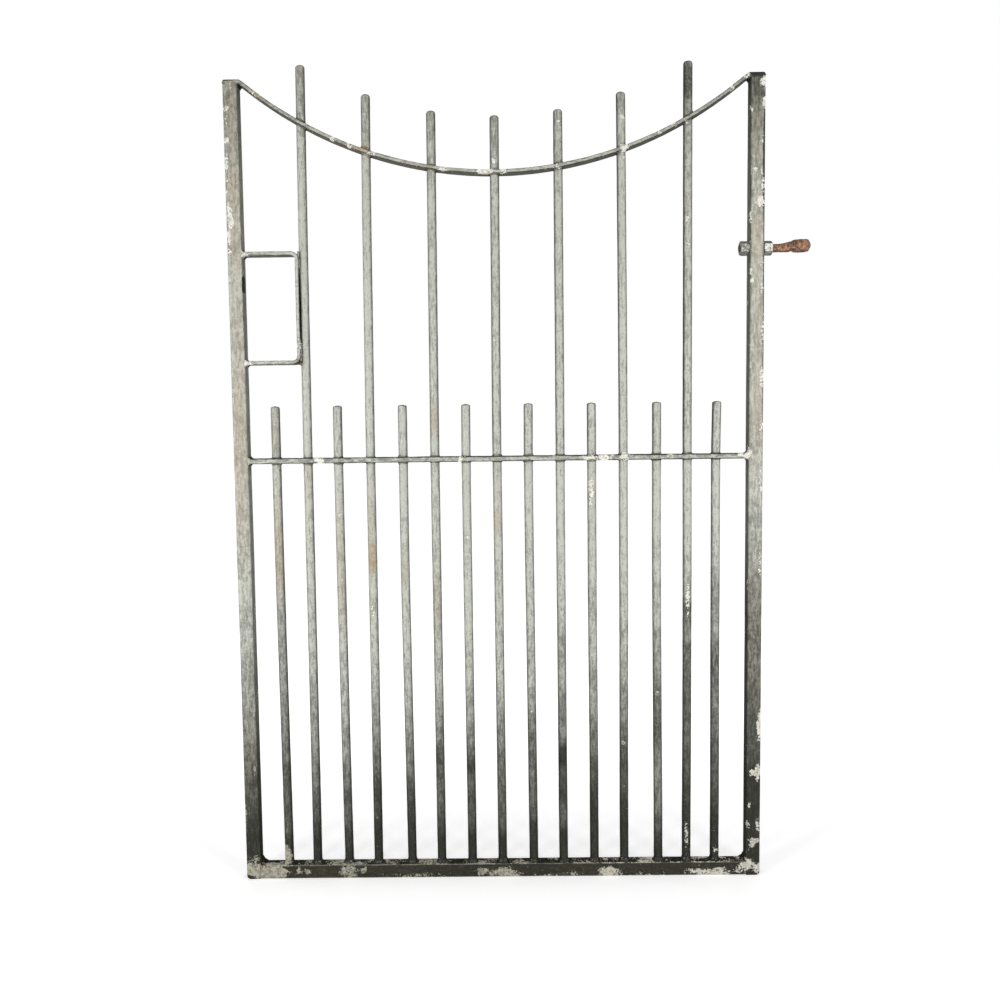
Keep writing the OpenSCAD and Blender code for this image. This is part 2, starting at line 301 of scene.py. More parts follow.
TAN = [
    (14, 760, 14, 190, .50), (14, 1230, 12, 120, .32), (902, 420, 12, 170, .30), (902, 1110, 8, 60, .4),
    (904, 900, 8, 160, .3), (72, 590, 9, 90, .75), (180, 640, 9, 60, .35), (180, 520, 9, 90, .4),
    (235, 574, 9, 24, 1.5), (235, 650, 9, 60, .5), (292, 545, 9, 20, .6), (347, 815, 9, 30, .8),
    (401, 700, 9, 40, .2), (455, 640, 9, 20, .9), (455, 720, 9, 40, .2), (126, 700, 9, 40, .3),
    (347, 500, 9, 40, .5), (619, 660, 9, 60, .2), (72, 800, 9, 40, .4), (14, 180, 12, 80, .2),
    (40, 12, 40, 12, .5), (182, 6, 18, 6, .9), (826, 4, 40, 4, .6), (462, 4, 30, 5, .5),
    (228, 1273, 40, 10, 1.2), (60, 1365, 20, 10, 1.0), (330, 1243, 30, 8, .4), (119, 912, 8, 10, .8),
    (785, 1180, 8, 30, .1), (12, 960, 16, 290, .13), (12, 1070, 16, 120, .22), (902, 1035, 16, 320, .13),
    (902, 1080, 16, 100, .06), (12, 850, 16, 40, .06), (902, 800, 16, 110, .20), (12, 1370, 16, 60, .20),
]
# DARK: painted shade in the crevices by the lock box, at its corners and along the stiles' rounded edges;
# darker patches elsewhere.
DARK = [
    (785, 1375, 12, 48, .8), (785, 400, 12, 110, .4), (836, 380, 12, 120, .4), (913.5, 1250, 2.5, 95, 1.3),
    (902, 1388, 20, 6, 1.2), (9, 1388, 14, 5, .9), (235, 195, 10, 30, .6), (347, 190, 10, 30, .4),
    (25, 1055, 1.5, 6, 1.4), (25, 1042, 1.5, 5, 1.3), (25, 1000, 1, 90, .4), (126, 1092, 9, 4, .5),
    (121.5, 1003, 1, 68, 1.6), (119, 914, 10, 8, .7), (13, 1346, 6, 1, .6), (905, 1164, 9, 2, .6),
    (914.5, 1050, 2, 270, 1.0), (892, 1100, 1, 200, .5), (872, 1100, 7, 12, 1.6),
]
# For each stile and bar, by its x: middle z, half height and strength.
SHADES_AT = {
    12: [(1300, 90, -.12), (1090, 25, -.10), (500, 80, .12), (185, 22, -.10), (1350, 40, .05),
         (770, 50, -.06), (150, 60, .04)],
    902: [(1375, 32, -.20), (1330, 75, -.16), (670, 50, -.06), (1350, 60, -.10), (765, 60, -.16),
          (660, 60, -.12), (155, 45, -.14), (450, 40, -.03), (300, 60, -.03)],
    126: [(1360, 60, -.10), (490, 30, -.08), (330, 30, -.06), (150, 50, .10), (1220, 60, -.06)],
    235: [(1330, 50, -.12), (160, 25, -.08)],
    347: [(1070, 60, .10), (515, 45, -.10), (455, 40, -.12), (220, 18, -.10), (130, 50, .08),
          (490, 20, -.06)],
    455: [(220, 20, -.10), (130, 50, .12)],
    564: [(420, 45, -.20), (221, 22, -.15), (110, 25, .12), (437, 14, -.06)],
    676: [(440, 25, -.14), (165, 25, .06)],
    785: [(830, 40, -.10), (540, 25, .05), (330, 30, -.08), (485, 16, -.16), (435, 18, .22)],
    72: [(420, 120, -.08), (150, 40, .14), (95, 20, .16)],
    180: [(470, 50, -.06), (215, 20, .07), (110, 25, .06), (240, 20, .08)],
    292: [(320, 40, -.08)],
    401: [(320, 30, -.06), (215, 28, -.24), (110, 25, .08), (250, 20, -.08)],
    510: [(560, 60, -.08), (145, 45, .12), (440, 60, -.07)],
    619: [(492, 25, -.20), (600, 20, -.08), (320, 30, .06), (230, 20, .12)],
    733: [(440, 22, -.14), (155, 75, .26), (230, 30, .08), (500, 60, .04), (175, 25, .06)],
    836: [(600, 22, -.12), (456, 45, .28), (440, 20, .10), (300, 60, .12), (170, 50, .05), (505, 20, -.10)],
}
STILE_XS = (12, 902)
SHADES = [(x, z, 16 if x in STILE_XS else 14, half_h, strength)
          for x, rows in SHADES_AT.items() for z, half_h, strength in rows]
print("spots:", len(CHIPS), "chips,", len(TAN), "stains,", len(DARK), "dark places,", len(SHADES), "shades")

# %% the fields at an array of points
shake_x, shake_z = 2.5, 4.0  # how far noise shakes the spots, in mm
# These shape the pale paint by height: chalk with the reflection of the bright room painted in.
first_rise, first_share = (40, 440), 0.27  # the slow rise from the ground, in mm up, and its share
turn_z, turn_rise = 235.0, 540.0
turn_half, turn_tighter = 225.0, 220.0
fine_shift, broad_shift = 26, 22  # how far noise shifts the turn, in mm
below_rail, under_rail_z, under_rail_h, under_rail_gain = 0.94, 690.0, 70.0, 0.16
rail_band = (745, 775)
top_band, top_fade = (1160.0, 1400), 0.41
chip_gain = 0.68
corner_gain = 4  # brings the measure of a corner, at most 1/4, to 1
high_warm, high_band = 0.16, (900, 1200)  # tan all over the upper leaf


def spots(table, place, soft=1.0):
    """Sum over the table's spots of strength * exp(-d^4), where d is the distance from a spot's middle in
    units of its half sizes. The fourth power keeps a spot flat inside and quick to end. The places are
    shaken a few millimetres by noise first, less for a narrow one, so that no spot is an ellipse."""
    sideways = shake_x * lumps(place, 6, 15)
    z = place[:, 2] + shake_z * lumps(place, 8, 16)
    total = np.zeros_like(z)
    for sx, sz, half_w, half_h, strength in table:
        x = place[:, 0] + sideways * min(1, half_w / 8)
        far = ((x - sx) / (half_w + soft)) ** 2 + ((z - sz) / (half_h + soft)) ** 2
        total += strength * np.exp(-far ** 2)
    return total


def chalk_and_reflection(place, lift, high):
    """How pale the paint is by height: chalky paint, with the reflection of the bright room painted in.
    It rises slowly from the ground, and turns pale over a band round turn_z, higher up and more sharply
    towards the hinge side. It is palest just under the mid rail. Above the rail it goes over to high, and
    near the top it falls back by top_fade."""
    x, z = place[:, 0], place[:, 2]
    over = np.clip(x / leaf_w, 0, 0.86) ** 4
    patchy = z + fine_shift * lumps(place * [1, 1, 0.35], 12, 5) + broad_shift * lumps(place, 45, 3)
    turn = turn_z + turn_rise * over + lift
    half = turn_half - turn_tighter * over
    turned = ramp(patchy, turn - half, turn + half)
    rise = first_share * ramp(patchy, *first_rise) + (1 - first_share) * turned
    below = below_rail + under_rail_gain * np.exp(-((z - under_rail_z) / under_rail_h) ** 2)
    above = high * (1 - top_fade * ramp(z, *top_band))
    return rise * (below + (above - below) * ramp(z, *rail_band))


def toward_edge(section, thick, rings):
    """1 along a flat bar's long edges and 0 along its middle, for every point of an open shell of section."""
    up = np.abs(section[:, 1] - section[:, 1].mean()) / (thick / 2)
    return np.concatenate([np.tile(ramp(up, 0.40, 0.95), rings), [0.0, 0.0]])


def patches(place, size, seed, base, gain, top=1.0):
    """Soft patches of noise of that size: base + gain * noise, kept between 0 and top."""
    return np.clip(base + gain * lumps(place, size, seed), 0, top)


def read(items, what):
    """One vector of every mesh item, as rows of an array."""
    values = np.zeros(len(items) * 3, np.float32)
    items.foreach_get(what, values)
    return values.reshape(-1, 3).astype(float)


def wear(piece, edges=0.0, black=0.0, pale=1.0, lift=0.0, warm=0.0, rim=0.0, top_flecks=0.0, loose=0.14,
         line=0.0, outline=0.0, high=1.0, flank=0.12):
    """Writes the wear and painted light fields of a piece.
    side: 1 where the surface faces sideways, up or down, 0 where it faces the front or the back; the shaders
    paint shade there.
    pale: how pale the paint is, chalk with a painted reflection, from its height (lift raises the turn, high
    is its level above the mid rail) and the shades, darkened on the sides down to the share flank as painted
    shade, less towards the hinge side, less by black, and with a painted highlight on the upper rounded edges
    (rim).
    bare: how ready the paint is to chip: loose everywhere, the chip spots on the front, noise on the corners
    (edges) and on faces that look up (top_flecks).
    tan and dark: the stain spots, and tan all over (warm); the dark spots, painted shade in the crevices and
    along rounded edges and darker patches elsewhere, with painted shade along the corners (line) and towards
    the long edges (outline).
    low: 1 near the ground, where what shows through a chip is greyer."""
    mesh = piece.data
    place = (read(mesh.vertices, "co") - corner) / MM
    normal = read(mesh.vertex_normals, "vector")
    x, y, z = place.T
    across, through, upward = np.abs(normal.T)
    # Painted shade: the sides keep only the share least of the pale, less towards and up on the hinge side.
    upper = ramp(z, 735, 800) * np.clip(x / leaf_w, 0, 1) ** 1.4
    facing = ramp(through, 0.12, 0.92) ** (1 + 2.0 * upper)
    least = flank * (1 - 0.35 * x / leaf_w)
    edge = corner_gain * (across ** 2 * through ** 2 + through ** 2 * upward ** 2)
    chalk_and_light = chalk_and_reflection(place, lift, high) + spots(SHADES, place, 0.0)
    chalk_and_light *= pale * (least + (1 - least) * facing) * (1 - black)
    # A painted highlight along the upper rounded edges, as strong as rim.
    chalk_and_light += rim * edge * patches(place, 16, 19, 0.55, 0.8) * (normal[:, 2] > -0.3)
    front = ramp(-y, -13, -6)
    worn_edge = edges * edge * patches(place, 30, 8, 0.28, 0.85)
    behind = patches(place, 26, 9, -0.55, 1.0) * 1.3 * (1 - front) * (edges > 0)
    flecks = top_flecks * ramp(normal[:, 2], 0.5, 0.9) * (1 + 0.75 * lumps(place, 22, 17))
    bare = loose + chip_gain * spots(CHIPS, place) * front + worn_edge + behind + flecks
    all_over = warm + high_warm * ramp(z, *high_band)
    tan = spots(TAN, place, 2) + all_over * patches(place, 40, 11, 0.6, 0.8, 1.4)
    tan *= 0.15 + 0.85 * facing
    dark = spots(DARK, place, 0.5) * np.maximum(ramp(-y, -20, -12), 0.3)
    # Painted shade along the rounded corners (line) and towards the long edges of flat bar (outline).
    dark += line * edge * (0.8 + 0.5 * lumps(place, 12, 23))
    dark += outline * facing * (0.85 + 0.25 * x / leaf_w + 0.35 * lumps(place, 9, 24))
    low = (1 - ramp(z, 120, 420)) * (1 - 0.6 * ramp(x, 450, 800))
    fields = {"side": 1 - facing, "pale": chalk_and_light, "bare": bare, "tan": tan, "dark": dark, "low": low}
    for name, field in fields.items():
        layer = mesh.attributes.new(name, "FLOAT", "POINT")
        layer.data.foreach_set("value", np.clip(field, 0, 2).astype(np.float32))


# %% [markdown]
# ## Paint as layers
# Paint on old ironwork is a stack: iron, pale undercoats, black top coat, and dirt. Each effect is a node
# group, so that a chip on a rail and a chip on a nut are the same kind of chip: *chip* gives a ragged mask
# from how bare a place is, *streaks* gives brush marks, *rust* blotchy iron oxide, and *dust* a fine dirt.

# %% small helpers for node trees
def add(tree, kind, **settings):
    """A new shader node of that kind, with its settings."""
    made = tree.nodes.new("ShaderNode" + kind)
    for key, value in settings.items():
        setattr(made, key, value)
    return made


def fill(tree, sockets, values):
    """Gives each socket its value: another socket is linked, anything else is set."""
    for socket, value in zip(sockets, values):
        if isinstance(value, bpy.types.NodeSocket):
            tree.links.new(value, socket)
        else:
            socket.default_value = value


def feed(tree, node, **values):
    """Fills a node's inputs by name, with _ for a space."""
    fill(tree, [node.inputs[key.replace("_", " ")] for key in values], values.values())
    return node


def maths(tree, operation, a, b=0.5, c=0.0, clamp=False):
    """One Math node and its output."""
    made = add(tree, "Math", operation=operation, use_clamp=clamp)
    fill(tree, made.inputs, (a, b, c))
    return made.outputs[0]


def times(tree, a, b, plus=None, clamp=False):
    """a times b, and plus something more if it is given."""
    if plus is None:
        return maths(tree, "MULTIPLY", a, b, clamp=clamp)
    return maths(tree, "MULTIPLY_ADD", a, b, plus, clamp)


def less(tree, value):
    """1 less a value."""
    return maths(tree, "SUBTRACT", 1.0, value)


def noise(tree, place, scale, detail, roughness, distortion=0.0):
    """A noise texture's value at place."""
    made = add(tree, "TexNoise")
    feed(tree, made, Vector=place, Scale=scale, Detail=detail, Roughness=roughness, Distortion=distortion)
    return made.outputs["Fac"]


def object_place(tree):
    """The place on the object, in metres."""
    return add(tree, "TexCoord").outputs["Object"]


def between(tree, value, low, high, to_low=0.0, to_high=1.0, smooth=True):
    """Map Range from low..high to to_low..to_high, clamped."""
    made = add(tree, "MapRange", interpolation_type="SMOOTHSTEP" if smooth else "LINEAR")
    fill(tree, made.inputs, (value, low, high, to_low, to_high))
    return made.outputs[0]


def blend(tree, factor, first, second):
    """A colour mix of first and second by factor."""
    made = add(tree, "Mix", data_type="RGBA")
    fill(tree, [made.inputs[n] for n in (0, 6, 7)], (factor, first, second))
    return made.outputs[2]


def glaze(tree, under, mask, amount, colour, clamp=False):
    """Lays a colour over what is under it, as thick as amount where the mask is 1."""
    return blend(tree, times(tree, mask, amount, clamp=clamp), under, colour)


def shade(red, green, blue):
    """A colour with full alpha."""
    return (red, green, blue, 1.0)


def group(name, takes, gives):
    """A new node group with named inputs (name, kind, start value) and outputs (name, kind)."""
    tree = bpy.data.node_groups.new(name, "ShaderNodeTree")
    for title, kind, start in takes:
        socket = tree.interface.new_socket(title, in_out="INPUT", socket_type="NodeSocket" + kind)
        socket.default_value = start
    for title, kind in gives:
        tree.interface.new_socket(title, in_out="OUTPUT", socket_type="NodeSocket" + kind)
    return tree, tree.nodes.new("NodeGroupInput").outputs, tree.nodes.new("NodeGroupOutput")


def use(tree, made, **values):
    """Places a group in a tree with its own values, and gives its outputs."""
    placed = add(tree, "Group", node_tree=made)
    feed(tree, placed, **values)
    return placed.outputs


# %% the chip group: a ragged hole through the top coat, ringed by a painted shadow
chip, here, out = group(
    "paint chip",
    [("Bare", "Float", 0.0), ("Grain", "Float", 300.0), ("Cream", "Color", shade(.92, .88, .77)),
     ("Primer", "Color", shade(.60, .58, .50))],
    [("Mask", "Float"), ("Rim", "Float"), ("Color", "Color"), ("Height", "Float")],
)
spot = object_place(chip)
ragged = noise(chip, spot, here["Grain"], 6, 0.68, 0.3)
coarse = noise(chip, spot, times(chip, here["Grain"], 0.3), 4, 0.6)
ready = times(chip, maths(chip, "SUBTRACT", ragged, 0.5), 2.4, here["Bare"])
ready = times(chip, maths(chip, "SUBTRACT", coarse, 0.5), 1.1, ready)
flaked = between(chip, ready, 0.63, 0.66)
# A ring round each chip, darkened later as the painted shadow of the paint's edge.
around_chip = between(chip, ready, 0.50, 0.62)
undercoat = between(chip, noise(chip, spot, 210.0, 5, 0.70), 0.47, 0.56)
stain = between(chip, noise(chip, spot, 240.0, 4, 0.7), 0.58, 0.70)
layer = blend(chip, undercoat, here["Cream"], here["Primer"])
layer = glaze(chip, layer, stain, 0.30, shade(.36, .27, .17))
grit = between(chip, noise(chip, spot, 700.0, 3, 0.6), 0.45, 0.65, 0.0, 0.35)
layer = blend(chip, grit, layer, shade(.28, .27, .23))
feed(chip, out, Mask=flaked, Rim=maths(chip, "SUBTRACT", around_chip, flaked, clamp=True), Color=layer,
     Height=less(chip, between(chip, ready, 0.58, 0.68)))

# %% the streaks group: brush marks drawn out along the bar, with scratches and dark dashes
streaks, here, out = group(
    "brush streaks",
    [("Stretch", "Vector", (1.0, 1.0, 0.2)), ("Fine", "Float", 300.0)],
    [("Tone", "Float"), ("Scratch", "Float"), ("Dash", "Float"), ("Height", "Float")],
)
spot = object_place(streaks)
drawn = feed(streaks, add(streaks, "Mapping"), Vector=spot, Scale=here["Stretch"]).outputs[0]
fine = noise(streaks, drawn, here["Fine"], 4, 0.62)
other = noise(streaks, drawn, times(streaks, here["Fine"], 1.7), 3, 0.6)
mottle = noise(streaks, spot, 210.0, 5, 0.70)
cloudy = noise(streaks, spot, 34.0, 4, 0.6)
mixed = times(streaks, fine, 0.48)
mixed = times(streaks, mottle, 0.36, mixed)
mixed = times(streaks, cloudy, 0.16, mixed)
feed(streaks, out, Tone=mixed, Scratch=between(streaks, other, 0.57, 0.68),
     Dash=between(streaks, fine, 0.36, 0.28), Height=maths(streaks, "ADD", fine, mottle))

# %% the rust group: blotches of oxide, dark scale to orange bloom
rust, here, out = group(
    "iron oxide",
    [("Grain", "Float", 120.0), ("Scale Tint", "Color", shade(.10, .050, .034)),
     ("Bloom", "Color", shade(.42, .19, .10))],
    [("Color", "Color"), ("Pits", "Float"), ("Tone", "Float")],
)
spot = object_place(rust)
blotch = noise(rust, spot, here["Grain"], 6, 0.68, 0.2)
speck = noise(rust, spot, times(rust, here["Grain"], 5.0), 3, 0.6)
tone = maths(rust, "ADD", times(rust, blotch, 0.65), times(rust, speck, 0.35))
body = blend(rust, between(rust, tone, 0.42, 0.57), here["Scale Tint"], here["Bloom"])
body = blend(rust, between(rust, speck, 0.58, 0.70), body, shade(.66, .38, .22))
feed(rust, out, Color=body, Pits=tone, Tone=between(rust, tone, 0.35, 0.65))

# %% the dust group: a thin dirt that settles in the fine hollows
dust, here, out = group("fine dirt", [("Grain", "Float", 340.0)], [("Mask", "Float")])
spot = object_place(dust)
feed(dust, out, Mask=between(dust, noise(dust, spot, here["Grain"], 5, 0.7), 0.52, 0.70))
print("node groups:", [made.name for made in bpy.data.node_groups])

# %% [markdown]
# ## The finishes
# The black paint is one recipe, placed three times: brush marks run up the uprights, along the rails, and not
# at all on welds. Under them all is a plain dielectric shader, because paint is not metal. Rust is rough and
# dull, and the nuts still have most of a pale coat on them.

# %% the black paint
# PALE is chalky paint and the reflection of the bright room painted into it; SHADOW is painted shade.
BLACK, BROWN, PALE = shade(.0112, .0122, .0060), shade(.0165, .0138, .0046), shade(.560, .577, .512)
CREAM, LOW_CREAM = shade(.96, .94, .84), shade(.50, .46, .36)
PRIMER, LOW_PRIMER = shade(.78, .76, .67), shade(.24, .25, .205)
STAIN, RUSTY_STAIN = shade(.43, .37, .27), shade(.42, .29, .17)
DUST, DASH, DARK_MARKS_AND_SHADE = shade(.15, .145, .115), shade(.10, .10, .08), shade(.014, .014, .010)
CHIP_RIM_SHADOW, SHADOW = shade(.036, .032, .022), shade(.006, .007, .004)
FIELDS = ("side", "pale", "bare", "tan", "dark", "low")


def cleared(owner):
    """The node tree of a material or a world, emptied."""
    owner.use_nodes = True
    owner.node_tree.nodes.clear()
    return owner.node_tree


def blank(name):
    """A new material with an empty node tree, and the wear fields read as attributes."""
    made = bpy.data.materials.new(name)
    tree = cleared(made)
    field = {key: add(tree, "Attribute", attribute_name=key).outputs["Fac"] for key in FIELDS}
    return made, tree, field


def surface(tree, colour, rough, height, strength, distance, specular, coat=0.0, coat_rough=0.3):
    """The plain dielectric shader with its bump, linked to the material's output. The coat is the sheen that
    is left on the faces that get touched."""
    bump = feed(tree, add(tree, "Bump"), Height=height, Strength=strength, Distance=distance)
    shader = add(tree, "BsdfPrincipled")
    feed(tree, shader, Base_Color=colour, Roughness=rough, Normal=bump.outputs[0],
         Specular_IOR_Level=specular, Coat_Weight=coat, Coat_Roughness=coat_rough)
    feed(tree, add(tree, "OutputMaterial"), Surface=shader.outputs[0])


def black_paint(name, stretch, chip_grain=300.0, relief=1.0):
    """Old black top coat over pale undercoats, worn by the fields from wear(), with painted reflection and
    shade.
    """
    made, tree, field = blank(name)
    brush = use(tree, streaks, Stretch=stretch)
    cream = blend(tree, field["low"], CREAM, LOW_CREAM)
    primer = blend(tree, field["low"], PRIMER, LOW_PRIMER)
    chipped = use(tree, chip, Bare=field["bare"], Grain=chip_grain, Cream=cream, Primer=primer)
    dirt = use(tree, dust)["Mask"]
    oxide = use(tree, rust, Grain=170.0)

    tone = between(tree, brush["Tone"], 0.42, 0.58, 0.64, 1.33, smooth=False)
    # The dark field, painted shade and darker patches, dulls the pale paint.
    duller = times(tree, field["dark"], -0.50, 1.0, clamp=True)
    # The pale field, chalk with painted reflection and painted shade, broken up by the brush's tone.
    chalk_and_light = times(tree, times(tree, field["pale"], tone), duller)
    paler_here = between(tree, field["pale"], 0.0, 0.30, 0.25, 1.0)
    chalk_and_light = times(tree, times(tree, brush["Scratch"], paler_here), 0.15, chalk_and_light)
    fleck = times(tree, between(tree, brush["Tone"], 0.45, 0.60, -0.045, 0.125), paler_here)
    chalk_and_light = times(tree, fleck, less(tree, field["side"]), chalk_and_light, clamp=True)
    darkest = blend(tree, field["tan"], BLACK, BROWN)
    coat = blend(tree, chalk_and_light, darkest, PALE)
    tan = blend(tree, oxide["Tone"], STAIN, RUSTY_STAIN)
    warm = times(tree, field["tan"], between(tree, oxide["Pits"], 0.40, 0.60, 0.40, 1.0))
    warm = times(tree, warm, between(tree, chalk_and_light, 0.03, 0.35, 0.02, 0.85), clamp=True)
    coat = blend(tree, warm, coat, tan)
    coat = glaze(tree, coat, dirt, between(tree, chalk_and_light, 0, 0.5, 0.09, 0.24), DUST)
    coat = glaze(tree, coat, brush["Dash"], 0.45, DASH)
    # Painted shade and dark marks: where the dark field and the rust's pits add up, the paint goes near
    # black.
    dark_marks_and_shade = between(tree, maths(tree, "ADD", field["dark"], oxide["Pits"]), 1.05, 1.45)
    coat = glaze(tree, coat, dark_marks_and_shade, 0.9, DARK_MARKS_AND_SHADE)
    # Painted shadow round the edge of each chip.
    coat = glaze(tree, coat, chipped["Rim"], 0.75, CHIP_RIM_SHADOW)
    coat = glaze(tree, coat, field["side"], 0.25, SHADOW)
    colour = blend(tree, chipped["Mask"], coat, chipped["Color"])

    rough = times(tree, field["side"], 0.2, 0.75)
    worn_off = maths(tree, "MAXIMUM", chipped["Mask"], times(tree, dirt, 0.5))
    sheen = times(tree, less(tree, field["side"]), 0.45)
    sheen = times(tree, sheen, less(tree, worn_off), clamp=True)
    height = times(tree, brush["Height"], 0.45, chipped["Height"])
    surface(tree, colour, rough, height, 0.8 * relief, 0.0004, 0.08, sheen, 0.22)
    print("finish:", name, len(tree.nodes), "nodes")
    return made


paint_up = black_paint("black_paint_uprights", (1.0, 1.0, 0.2))
paint_level = black_paint("black_paint_rails", (0.25, 1.0, 1.0))
paint_weld = black_paint("black_paint_welds", (0.6, 0.6, 0.6), 380.0, 1.4)

# %% the rusted eye bolt
def rusted_iron(name):
    """Bare forged iron under brown scale, orange bloom on the high places, and painted black shade on the
    sides.
    """
    made, tree, field = blank(name)
    oxide = use(tree, rust, Grain=175.0, Bloom=shade(.43, .205, .115), Scale_Tint=shade(.065, .033, .024))
    dirt = use(tree, dust, Grain=380.0)["Mask"]
    spot = object_place(tree)
    rubbed = between(tree, noise(tree, spot, 300.0, 4, 0.7), 0.53, 0.60)
    colour = glaze(tree, oxide["Color"], dirt, 0.60, shade(.050, .030, .024))
    colour = glaze(tree, colour, rubbed, 0.62, shade(.66, .42, .29))
    # Painted shade on the sides.
    colour = glaze(tree, colour, field["side"], 0.72, shade(.030, .020, .016))
    colour = glaze(tree, colour, field["dark"], 0.9, shade(.025, .025, .021), clamp=True)
    rough = between(tree, oxide["Pits"], 0.3, 0.7, 0.50, 0.80, smooth=False)
    surface(tree, colour, rough, oxide["Pits"], 0.9, 0.0012, 0.35)
    return made


# %% the nuts, with most of a pale coat left on them
def worn_nut(name, bare, coat, chipped_to, primer):
    """Pale paint over iron: the chip group again, pale coat on top, dirty grey beneath, painted shade on the
    sides.
    """
    made, tree, field = blank(name)
    open_at = times(tree, field["side"], 0.16, bare)
    chipped = use(tree, chip, Bare=open_at, Grain=360.0, Cream=chipped_to, Primer=primer)
    dirt = use(tree, dust, Grain=420.0)["Mask"]
    top = glaze(tree, coat, dirt, 0.7, shade(.13, .13, .105))
    colour = blend(tree, chipped["Mask"], top, chipped["Color"])
    # Painted shade on the sides.
    colour = glaze(tree, colour, field["side"], 0.74, shade(.020, .022, .016))
    rough = between(tree, chipped["Mask"], 0.0, 1.0, 0.50, 0.75, smooth=False)
    surface(tree, colour, rough, chipped["Height"], 0.9, 0.0005, 0.3)
    return made


rusted = rusted_iron("rusted_iron")
nut_inner = worn_nut("nut_worn_grey", 0.62, shade(.22, .23, .19), shade(.82, .81, .74), shade(.40, .40, .35))
nut_outer = worn_nut("nut_worn_pale", 0.45, shade(.84, .83, .74), shade(.17, .17, .14), shade(.07, .07, .055))

# %% [markdown]
# ## Stiles and foot rail
# Square tube has round long corners, never a knife edge. Its shape is a rounded square carried along a
# straight path, with a slow waviness of a few tenths of a millimetre, since no face is an ideal plane. The
# foot of each stile is ground round at its outer corner, so there the section is drawn in.

# %% the stiles
tube_corner = 2.5
tube_gap, flat_gap, weld_gap = 1.8, 1.6, 1.2  # about how far apart a section's points lie
foot_round = 6.0
ring_step = 4.0
STILES = {  # pale, high, lift and flank, as wear takes them
    "latch_stile": (0.75, 1.04, 75, 0.58),
    "hinge_stile": (0.77, 0.98, 35, 0.50),
}


def rounded_off(distance, radius):
    """How far a quarter circle lies inside a square end, at a distance from it:
    radius - sqrt(radius^2 - (radius - distance)^2), and nothing from radius on."""
    return radius - np.sqrt(np.maximum(radius ** 2 - np.maximum(radius - distance, 0) ** 2, 0))


def stile(node):
    """A rounded square carried straight up. The outer side of the foot draws in by a quarter circle."""
    low, high = span(node)
    section = round_rect(tube, tube, tube_corner, tube_gap) + tube / 2
    start = foot_round * (1 - np.cos(np.linspace(0.02, math.pi / 2, 9)))
    z = np.concatenate([start, np.arange(foot_round + ring_step, high[2], ring_step), [high[2]]])
    across = section[:, 0] * (1 - rounded_off(z, foot_round) / tube)[:, None]
    x = high[0] - across if low[0] < leaf_w / 2 else low[0] + across
    grid = columns(x, section[:, 1], z[:, None])
    return shell(inward(grid, dents(grid, (0.16, 70, 1), (0.07, 11, 2)) * ramp(z, 0, 20)[:, None]))


for node, (pale, above_rail, lift, flank) in STILES.items():
    wear(build(node + "_tube", [stile(node)], paint_up, [node]), edges=0.30, rim=0.06, warm=0.10, line=0.50,
         pale=pale, high=above_rail, lift=lift, flank=flank)

# %% the foot rail
DEPTHWISE = np.array([0.0, 1, 0])
UPWARD = np.array([0.0, 0, 1])


def carried(section, x, z):
    """A section carried along the leaf through the points (x, z), halfway through its depth. Its first
    direction runs through the depth, and its second is square to the line."""
    path = columns(x, depth_mid, z)
    run = unit(np.gradient(path, axis=0))
    return carry(section, path, DEPTHWISE, columns(-run[:, 2], 0.0, run[:, 0]))


low, high = span("bottom_rail")
x = np.arange(low[0], high[0] + 0.5 * ring_step, ring_step)
x[-1] = high[0]
grid = carried(round_rect(tube, tube, tube_corner, tube_gap), x, tube / 2)
grid = inward(grid, dents(grid, (0.16, 60, 4), (0.08, 9, 5)))
wear(build("foot_rail_tube", [shell(grid)], paint_level, ["bottom_rail"]), edges=0.8, rim=0.30,
     top_flecks=0.36, warm=0.8)

# %% [markdown]
# ## The flat rails
# The mid rail is straight flat bar. The top rail lies flat over each stile, turns, and hangs in one long arc.
# Both are the same thing: a flat section carried along a line, with the section's up turned to stay square
# to the line. For the top rail the line is the lower of the flat end and the arc, with the turn eased by a
# smooth minimum, so its upper face never stands above either.

# %% the mid rail
edge_round = 1.5
mid_low, mid_high = span("mid_rail")
mid_z, mid_t = middle("mid_rail")[2], mid_high[2] - mid_low[2]
section = round_rect(tube, mid_t, edge_round, flat_gap)
x = np.linspace(mid_low[0], mid_high[0], int((mid_high[0] - mid_low[0]) / 3))
grid = carried(section, x, mid_z)
grid = inward(grid, dents(grid, (0.22, 26, 6), (0.12, 6, 7)))
wear(build("mid_rail_flat", [shell(grid)], paint_level, ["mid_rail"]), edges=0.5, pale=0.71, loose=0.16,
     flank=0.10, line=0.9, outline=1.5 * toward_edge(section, mid_t, len(x)))

# %% the top rail
rail_t = 7.0
end_round = 4.0
ease = 1.3
shoulder = 4.5
near_end = np.linspace(0, 60, 41)  # rings lie closer together where the rail turns
dip_z = span("top_rail")[0][2] + rail_t
half_dip = leaf_w / 2 - tube - shoulder
top_dip = leaf_h - dip_z
arc_r = (half_dip ** 2 + top_dip ** 2) / (2 * top_dip)


def rail_top(x):
    """Height of the top rail's upper face: the smooth minimum, with softness ease, of the flat end and a
    circle of radius arc_r through both shoulders and the lowest point."""
    arc = dip_z + arc_r - np.sqrt(arc_r ** 2 - np.minimum(np.abs(x - leaf_w / 2), half_dip + 40) ** 2)
    return -ease * np.logaddexp(-leaf_h / ease, -arc / ease)


